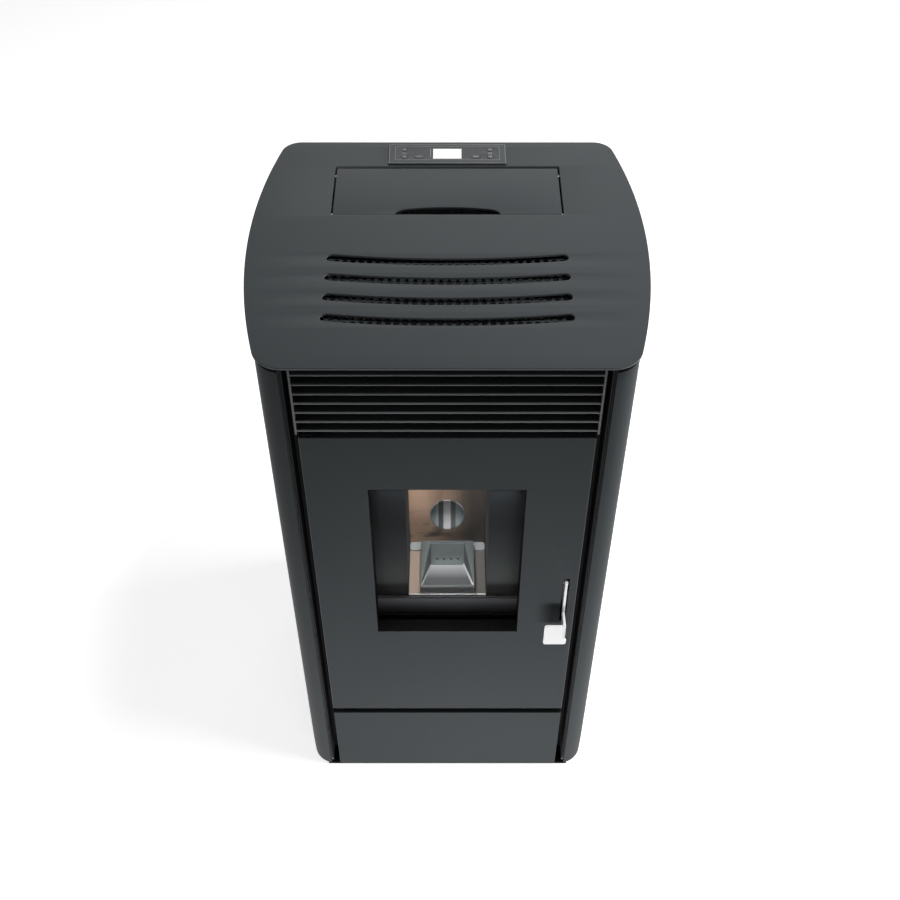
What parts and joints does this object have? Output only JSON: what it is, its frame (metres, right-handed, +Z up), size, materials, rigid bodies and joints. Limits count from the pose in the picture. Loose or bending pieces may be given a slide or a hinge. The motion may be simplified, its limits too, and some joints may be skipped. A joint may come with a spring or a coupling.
{
  "type": "pellet stove",
  "caption": "Free-standing pellet stove with bowed sides, slotted top, hopper lid, glazed fire door, louvred front and rear flue collar.",
  "frame": {"origin": "on the floor, at the middle of the width and of the depth over the handle and the flue collar", "axes": "+X to the right seen from the front, +Y to the back, +Z up; the door faces -Y"},
  "size_m": [0.53, 0.536, 0.9636],
  "materials": {
    "painted_steel": "satin anthracite paint",
    "black_steel": "matt black paint",
    "fire_steel": "matt dark grey, smoke darkened",
    "tinted_steel": "heat-tinted steel",
    "polished_steel": "polished",
    "zinc_steel": "zinc-plated sheet",
    "cast_iron": "bare cast, smooth",
    "ceramic_glass": "clear ceramic glass",
    "seal_rope": "woven glass-fibre rope",
    "vermiculite": "pressed vermiculite board",
    "black_plastic": "fine matt",
    "key_plastic": "fine matt",
    "display": "lit white display",
    "circuit_board": "coated glass-fibre board"
  },
  "bodies": {
    "root": {"base_plate": "black_steel", "foot_front_left": "black_plastic", "foot_front_right": "black_plastic", "foot_rear_left": "black_plastic", "foot_rear_right": "black_plastic", "side_panel_left": "painted_steel", "side_panel_right": "painted_steel", "front_post_left": "black_steel", "front_post_right": "black_steel", "back_panel": "black_steel", "top_plate": "painted_steel", "outlet_mesh": "painted_steel", "louvre_grille": "painted_steel", "lower_front_panel": "painted_steel", "hinge_bracket_lower": "black_steel", "hinge_bracket_upper": "black_steel", "latch_keeper": "zinc_steel", "lid_hinge_rod": "zinc_steel", "firebox_shell": "fire_steel", "fire_back": "tinted_steel", "fire_floor": "tinted_steel", "fire_cheek_left": "fire_steel", "fire_cheek_right": "fire_steel", "fire_apron": "fire_steel", "fire_baffle": "vermiculite", "pot_cradle": "zinc_steel", "igniter": "zinc_steel", "pellet_chute": "zinc_steel", "pellet_hopper": "zinc_steel", "auger_tube": "zinc_steel", "auger_motor": "black_plastic", "exhaust_fan_housing": "zinc_steel", "exhaust_fan_motor": "black_plastic", "flue_collar": "black_steel", "air_intake_pipe": "zinc_steel", "blower_housing": "zinc_steel", "power_inlet": "black_plastic", "control_bezel": "black_plastic", "display_window": "display", "control_board": "circuit_board"},
    "door": {"door_panel": "painted_steel", "door_frame": "black_steel", "door_glass": "ceramic_glass", "glass_retainer": "black_steel", "door_seal": "seal_rope"},
    "handle": {"door_handle": "polished_steel"},
    "lid": {"hopper_lid": "painted_steel"},
    "pot": {"burn_pot": "cast_iron"},
    "pan": {"ash_pan": "fire_steel"},
    "auger": {"auger_screw": "zinc_steel"},
    "exhaust_wheel": {"exhaust_fan_wheel": "zinc_steel"},
    "blower": {"blower_wheel": "black_plastic"},
    "rocker": {"power_switch": "black_plastic"},
    "left_up": {"key_left_up": "key_plastic"},
    "left_down": {"key_left_down": "key_plastic"},
    "left_oval": {"key_left_oval": "key_plastic"},
    "right_oval": {"key_right_oval": "key_plastic"},
    "right_up": {"key_right_up": "key_plastic"},
    "right_down": {"key_right_down": "key_plastic"}
  },
  "joints": [
    {"name": "door_hinge", "type": "hinge", "parent": "root", "child": "door", "pos_m": [-0.178, -0.226, 0.5], "axis": [0, 0, -1], "range_deg": [0, 105]},
    {"name": "handle_pull", "type": "hinge", "parent": "door", "child": "handle", "pos_m": [0.1725, -0.223, 0.515], "axis": [-1, 0, 0], "range_deg": [0, 25]},
    {"name": "lid_hinge", "type": "hinge", "parent": "root", "child": "lid", "pos_m": [0, 0.162, 0.9542], "axis": [-1, 0, 0], "range_deg": [0, 80]},
    {"name": "pot_lift", "type": "slide", "parent": "root", "child": "pot", "axis": [0, 0, 1], "range_m": [0, 0.06]},
    {"name": "pan_slide", "type": "slide", "parent": "root", "child": "pan", "axis": [0, -1, 0], "range_m": [0, 0.14]},
    {"name": "auger_turn", "type": "hinge", "parent": "root", "child": "auger", "pos_m": [0, 0.15, 0.59], "axis": [0, -0.866, 0.5], "continuous": true},
    {"name": "exhaust_wheel_turn", "type": "hinge", "parent": "root", "child": "exhaust_wheel", "pos_m": [0.055, 0.095, 0.275], "axis": [1, 0, 0], "continuous": true},
    {"name": "blower_turn", "type": "hinge", "parent": "root", "child": "blower", "pos_m": [-0.03, 0.089, 0.07], "axis": [1, 0, 0], "continuous": true},
    {"name": "switch_rock", "type": "hinge", "parent": "root", "child": "rocker", "pos_m": [-0.15, 0.2345, 0.163], "axis": [-1, 0, 0], "range_deg": [0, 14]},
    {"name": "left_up_press", "type": "slide", "parent": "root", "child": "left_up", "axis": [0, 0, -1], "range_m": [0, 0.0008], "stiffness_N_per_m": 200, "springref_m": -0.0005},
    {"name": "left_down_press", "type": "slide", "parent": "root", "child": "left_down", "axis": [0, 0, -1], "range_m": [0, 0.0008], "stiffness_N_per_m": 200, "springref_m": -0.0005},
    {"name": "left_oval_press", "type": "slide", "parent": "root", "child": "left_oval", "axis": [0, 0, -1], "range_m": [0, 0.0008], "stiffness_N_per_m": 200, "springref_m": -0.0005},
    {"name": "right_oval_press", "type": "slide", "parent": "root", "child": "right_oval", "axis": [0, 0, -1], "range_m": [0, 0.0008], "stiffness_N_per_m": 200, "springref_m": -0.0005},
    {"name": "right_up_press", "type": "slide", "parent": "root", "child": "right_up", "axis": [0, 0, -1], "range_m": [0, 0.0008], "stiffness_N_per_m": 200, "springref_m": -0.0005},
    {"name": "right_down_press", "type": "slide", "parent": "root", "child": "right_down", "axis": [0, 0, -1], "range_m": [0, 0.0008], "stiffness_N_per_m": 200, "springref_m": -0.0005}
  ],
  "couplings": [
    {"joint": "pan_slide", "follows": "door_hinge", "m_per_rad": 0.075}
  ]
}
